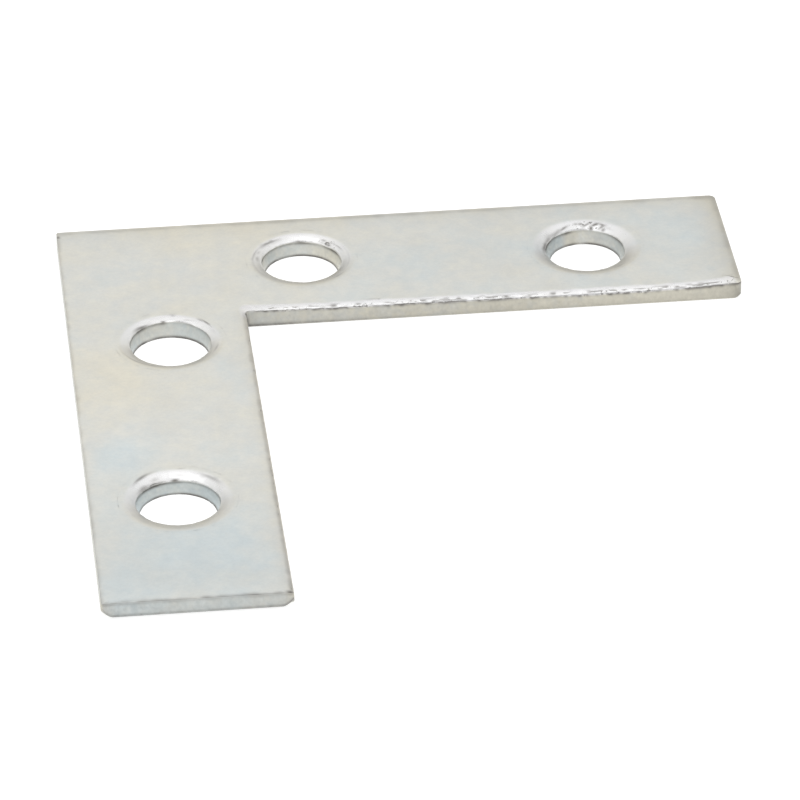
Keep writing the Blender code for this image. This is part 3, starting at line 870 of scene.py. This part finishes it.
class Nodes:
    """Short ways to lay out a material's nodes."""

    def __init__(self, tree):
        self.tree = tree
        tree.nodes.clear()

    def add(self, kind, inputs=(), **settings):
        node = self.tree.nodes.new(kind)
        for key, value in settings.items():
            setattr(node, key, value)
        for key, value in dict(inputs).items():
            if isinstance(value, bpy.types.NodeSocket):
                self.tree.links.new(value, node.inputs[key])
            else:
                node.inputs[key].default_value = value
        return node

    def value(self, name):
        return self.add("ShaderNodeAttribute", attribute_name=name).outputs["Fac"]

    def maths(self, operation, first, second=0.0, third=0.0):
        return self.add("ShaderNodeMath", {0: first, 1: second, 2: third}, operation=operation).outputs[0]

    def noise(self, vector, scale, detail=2.0, roughness=0.5):
        inputs = {"Vector": vector, "Scale": scale, "Detail": detail, "Roughness": roughness}
        return self.add("ShaderNodeTexNoise", inputs).outputs["Fac"]

    def mix(self, part, first, second, blend="MIX"):
        inputs = {0: part, 6: first, 7: second}
        return self.add("ShaderNodeMix", inputs, data_type="RGBA", blend_type=blend).outputs[2]

    def grey(self, value):
        return self.add("ShaderNodeCombineColor", {0: value, 1: value, 2: value}).outputs[0]

    def remap(self, value, low, high, to_low, to_high):
        inputs = {"Value": value, "From Min": low, "From Max": high, "To Min": to_low, "To Max": to_high}
        return self.add("ShaderNodeMapRange", inputs).outputs["Result"]

    def spread(self, noise, low, high):
        """Noise lies mostly from 0.3 to 0.7, and that range is spread from low to high."""
        return self.remap(noise, 0.3, 0.7, low, high)


def rgba(setting):
    return (*setting, 1.0)


def zinc_plating(finish):
    """Satin zinc plating with a bluish and yellowish film, duller on cut walls and dark in pits and flecks.

    Painted shade is mixed in with the same dark colour, and a painted sheen with the bright colour where
    the plating is burnished.
    """
    material = bpy.data.materials.new("zinc_plating")
    material.use_nodes = True
    nodes = Nodes(material.node_tree)
    place = nodes.add("ShaderNodeTexCoord").outputs["Object"]
    upright = nodes.add("ShaderNodeMapping", {"Vector": place, "Scale": (1.0, 1.0, 0.60)}).outputs["Vector"]
    cloud = nodes.noise(place, CLOUDS, 3.0)
    mottle = nodes.noise(place, MOTTLING, 4.0, 0.6)
    grain, speck = nodes.noise(place, GRAIN), nodes.noise(place, GRAIN, 1.5)
    streak = nodes.noise(upright, STREAKS, 3.0, 0.6)
    dull, burnish = nodes.value("dull"), nodes.value("burnish")

    tint = nodes.maths("ADD", nodes.value("tint"), nodes.spread(cloud, -0.25, 0.25))
    tint = nodes.maths("ADD", tint, nodes.spread(mottle, -0.20, 0.20))
    film = nodes.add("ShaderNodeValToRGB", {"Fac": nodes.remap(tint, -1.0, 1.0, 0.0, 1.0)})
    ramp = film.color_ramp
    ramp.elements[0].color = rgba(finish.zinc_cool)
    ramp.elements[1].color = rgba(finish.zinc_warm)
    ramp.elements.new(0.5).color = rgba(finish.zinc)
    tone = nodes.maths("MULTIPLY", nodes.value("shade"), nodes.spread(mottle, 0.966, 1.026))
    tone = nodes.maths("MULTIPLY", tone, nodes.spread(grain, 0.976, 1.018))
    wear_and_edge_light = nodes.maths("MULTIPLY", dull, nodes.spread(streak, -0.035, 0.035))
    tone = nodes.maths("ADD", tone, wear_and_edge_light)
    body = nodes.mix(1.0, film.outputs["Color"], nodes.grey(tone), "MULTIPLY")
    # Burnished plating and painted sheen, mixed towards the bright colour
    body = nodes.mix(nodes.maths("MULTIPLY", burnish, 0.75), body, rgba(finish.bright))
    fleck = nodes.value("fleck")
    spots = nodes.maths("ADD", speck, nodes.maths("MULTIPLY", fleck, 0.30))
    spots, where = nodes.remap(spots, 0.66, 0.80, 0.0, 0.85), nodes.remap(fleck, 0.05, 0.20, 0.0, 1.0)
    spots = nodes.maths("MULTIPLY", spots, where)
    # Pits, flecks and painted shade, mixed towards the dark colour
    flecks_and_shade = nodes.maths("MAXIMUM", nodes.value("recess"), spots)
    body = nodes.mix(flecks_and_shade, body, rgba(finish.recess))

    rough = nodes.spread(mottle, finish.roughness - 0.03, finish.roughness + 0.04)
    rough = nodes.maths("ADD", rough, nodes.maths("MULTIPLY", dull, finish.cut_roughness - finish.roughness))
    rough = nodes.maths("SUBTRACT", rough, nodes.maths("MULTIPLY", burnish, 0.08))

    fine = nodes.add("ShaderNodeBump", {"Strength": 0.12, "Distance": FINE_RELIEF, "Height": grain})
    scratch = nodes.maths("MULTIPLY", streak, dull)
    bump = nodes.add("ShaderNodeBump", {
        "Strength": 0.25, "Distance": FINE_RELIEF, "Height": scratch, "Normal": fine.outputs["Normal"],
    })
    shader = nodes.add("ShaderNodeBsdfPrincipled", {
        "Base Color": body, "Metallic": 1.0, "Roughness": rough, "Normal": bump.outputs["Normal"],
    })
    nodes.add("ShaderNodeOutputMaterial", {"Surface": shader.outputs["BSDF"]})
    return material


class MakePlate(bpy.types.Operator):
    """Makes the zinc-plated angle plate with its four screw holes"""

    bl_idname = "angle_plate.make_plate"
    bl_label = "Make plate"

    def execute(self, context):
        scene = context.scene
        sizes, holes = scene.plate_sizes, scene.plate_holes
        outline, surface = Outline(sizes), Surface()
        loops, rings = [make_edges(surface, outline, sizes)], []
        for name, seed in zip(HOLE_NAMES, HOLE_SEEDS):
            hole_loops, *hole_rings = make_hole(surface, outline, sizes, holes, name, seed)
            loops.append(hole_loops)
            rings.append(hole_rings)
        (top_loops, foot_loops), (top_rings, foot_rings) = zip(*loops), zip(*rings)
        fill_face(
            surface, outline, top_loops, top_rings, FACE_SPACING, FACE_INSET,
            lambda x, y: top_height(outline, sizes, x, y), True,
        )
        fill_face(
            surface, outline, foot_loops, foot_rings, UNDER_SPACING, UNDER_INSET,
            lambda x, y: np.zeros_like(x), False,
        )
        mesh = make_mesh("plate", surface)
        plate = bpy.data.objects.new("plate", mesh)
        context.scene.collection.objects.link(plate)
        plate.data.materials.append(zinc_plating(scene.plate_finish))
        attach(plate, "root")
        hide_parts(NODE)
        return {"FINISHED"}


def floor_finish(stage):
    """Pale matt floor that also shows some light of its own, and lets the view from underneath through."""
    material = bpy.data.materials.new("pale_floor")
    material.use_nodes = True
    nodes = Nodes(material.node_tree)
    matt = nodes.add("ShaderNodeBsdfDiffuse", {"Color": rgba(stage.floor)})
    path = nodes.add("ShaderNodeLightPath")
    seen = nodes.maths("MAXIMUM", path.outputs["Is Camera Ray"], path.outputs["Is Glossy Ray"])
    seen = nodes.maths("MAXIMUM", seen, path.outputs["Is Transmission Ray"])
    strength = nodes.maths("MULTIPLY", seen, stage.floor_glow)
    glow = nodes.add("ShaderNodeEmission", {"Color": (1, 1, 1, 1), "Strength": strength})
    both = nodes.add("ShaderNodeAddShader", {0: matt.outputs[0], 1: glow.outputs[0]})
    under = nodes.add("ShaderNodeNewGeometry").outputs["Backfacing"]
    clear = nodes.add("ShaderNodeBsdfTransparent")
    surface = nodes.add("ShaderNodeMixShader", {0: under, 1: both.outputs[0], 2: clear.outputs[0]})
    nodes.add("ShaderNodeOutputMaterial", {"Surface": surface.outputs[0]})
    return material


def light_world(scene, stage):
    """Even light that rises from the horizon to overhead. The camera sees white behind the plate."""
    world = bpy.data.worlds.new("studio")
    world.use_nodes = True
    nodes = Nodes(world.node_tree)
    direction = nodes.add("ShaderNodeTexCoord").outputs["Generated"]
    height = nodes.add("ShaderNodeSeparateXYZ", {0: direction}).outputs["Z"]
    upper = nodes.remap(height, 0.0, 1.0, stage.horizon, stage.overhead)
    lower = nodes.maths("LESS_THAN", height, 0.0)
    amount = nodes.add("ShaderNodeMix", {0: lower, 2: upper, 3: stage.below}, data_type="FLOAT").outputs[0]
    seen = nodes.add("ShaderNodeLightPath").outputs["Is Camera Ray"]
    amount = nodes.add("ShaderNodeMix", {0: seen, 2: amount, 3: 1.0}, data_type="FLOAT").outputs[0]
    glow = nodes.add("ShaderNodeBackground", {"Color": (1, 1, 1, 1), "Strength": amount})
    nodes.add("ShaderNodeOutputWorld", {"Surface": glow.outputs[0]})
    scene.world = world


def soft_lamp(scene, name, place, aim, size, watts):
    """A square area lamp at place, aimed at a point."""
    light = bpy.data.lights.new(name, "AREA")
    light.shape, light.size, light.energy = "SQUARE", size, watts
    lamp = bpy.data.objects.new(name, light)
    lamp.location = place
    lamp.rotation_euler = (Vector(aim) - Vector(place)).to_track_quat("-Z", "Y").to_euler()
    scene.collection.objects.link(lamp)
    return lamp


def place_camera(scene, stage):
    """A camera at azimuth, elevation and roll, looking at the target from the distance."""
    a, e, r = stage.azimuth, stage.elevation, stage.roll
    back = Vector((math.sin(a) * math.cos(e), -math.cos(a) * math.cos(e), math.sin(e)))
    right = Vector((math.cos(a), math.sin(a), 0.0))
    up = back.cross(right)
    right, up = right * math.cos(r) + up * math.sin(r), up * math.cos(r) - right * math.sin(r)
    data = bpy.data.cameras.new("camera")
    data.lens, data.sensor_width = stage.lens, SENSOR_WIDTH
    data.clip_start, data.clip_end = NEAREST, FURTHEST
    camera = bpy.data.objects.new("camera", data)
    turn = Matrix((right, up, back)).transposed().to_4x4()
    camera.matrix_world = Matrix.Translation(Vector(stage.target) + back * stage.distance) @ turn
    scene.collection.objects.link(camera)
    scene.camera = camera


class SetStage(bpy.types.Operator):
    """Lays the floor, lights it softly and places the camera"""

    bl_idname = "angle_plate.set_stage"
    bl_label = "Set stage"

    def execute(self, context):
        scene = context.scene
        stage = scene.plate_stage
        half, depth = FLOOR_HALF, LOW[2] - FLOOR_GAP
        corners = [(-half, -half, depth), (half, -half, depth), (half, half, depth), (-half, half, depth)]
        mesh = bpy.data.meshes.new("floor")
        mesh.from_pydata(corners, [], [(0, 1, 2, 3)])
        floor = bpy.data.objects.new("floor", mesh)
        scene.collection.objects.link(floor)
        mesh.materials.append(floor_finish(stage))
        light_world(scene, stage)
        soft_lamp(scene, "key_lamp", LAMP_PLACE, stage.target, LAMP_WIDTH, stage.key)
        place_camera(scene, stage)
        scene.view_settings.view_transform = "Standard"
        return {"FINISHED"}


class PlatePanel(bpy.types.Panel):
    """Lists the plate's operators and settings"""

    bl_idname = "VIEW3D_PT_angle_plate"
    bl_label = "Angle plate"
    bl_space_type = "VIEW_3D"
    bl_region_type = "UI"
    bl_category = "Angle plate"

    def draw(self, context):
        scene = context.scene
        for operator in (MakePlate, SetStage):
            self.layout.operator(operator.bl_idname)
        for name, kind in GROUPS:
            box = self.layout.box()
            box.label(text=name.replace("_", " ").capitalize())
            for setting in kind.__annotations__:
                box.prop(getattr(scene, name), setting)


GROUPS = (
    ("plate_sizes", PlateSizes),
    ("plate_holes", HoleSizes),
    ("plate_finish", Finish),
    ("plate_stage", StageSettings),
)
CLASSES = (PlateSizes, HoleSizes, Finish, StageSettings, MakePlate, SetStage, PlatePanel)


def register():
    for kind in CLASSES:
        bpy.utils.register_class(kind)
    for name, kind in GROUPS:
        setattr(bpy.types.Scene, name, PointerProperty(type=kind))


def unregister():
    for name, _ in GROUPS:
        delattr(bpy.types.Scene, name)
    for kind in reversed(CLASSES):
        bpy.utils.unregister_class(kind)


def main():
    register()
    bpy.ops.angle_plate.set_stage()
    bpy.ops.angle_plate.make_plate()


if __name__ == "__main__":
    main()
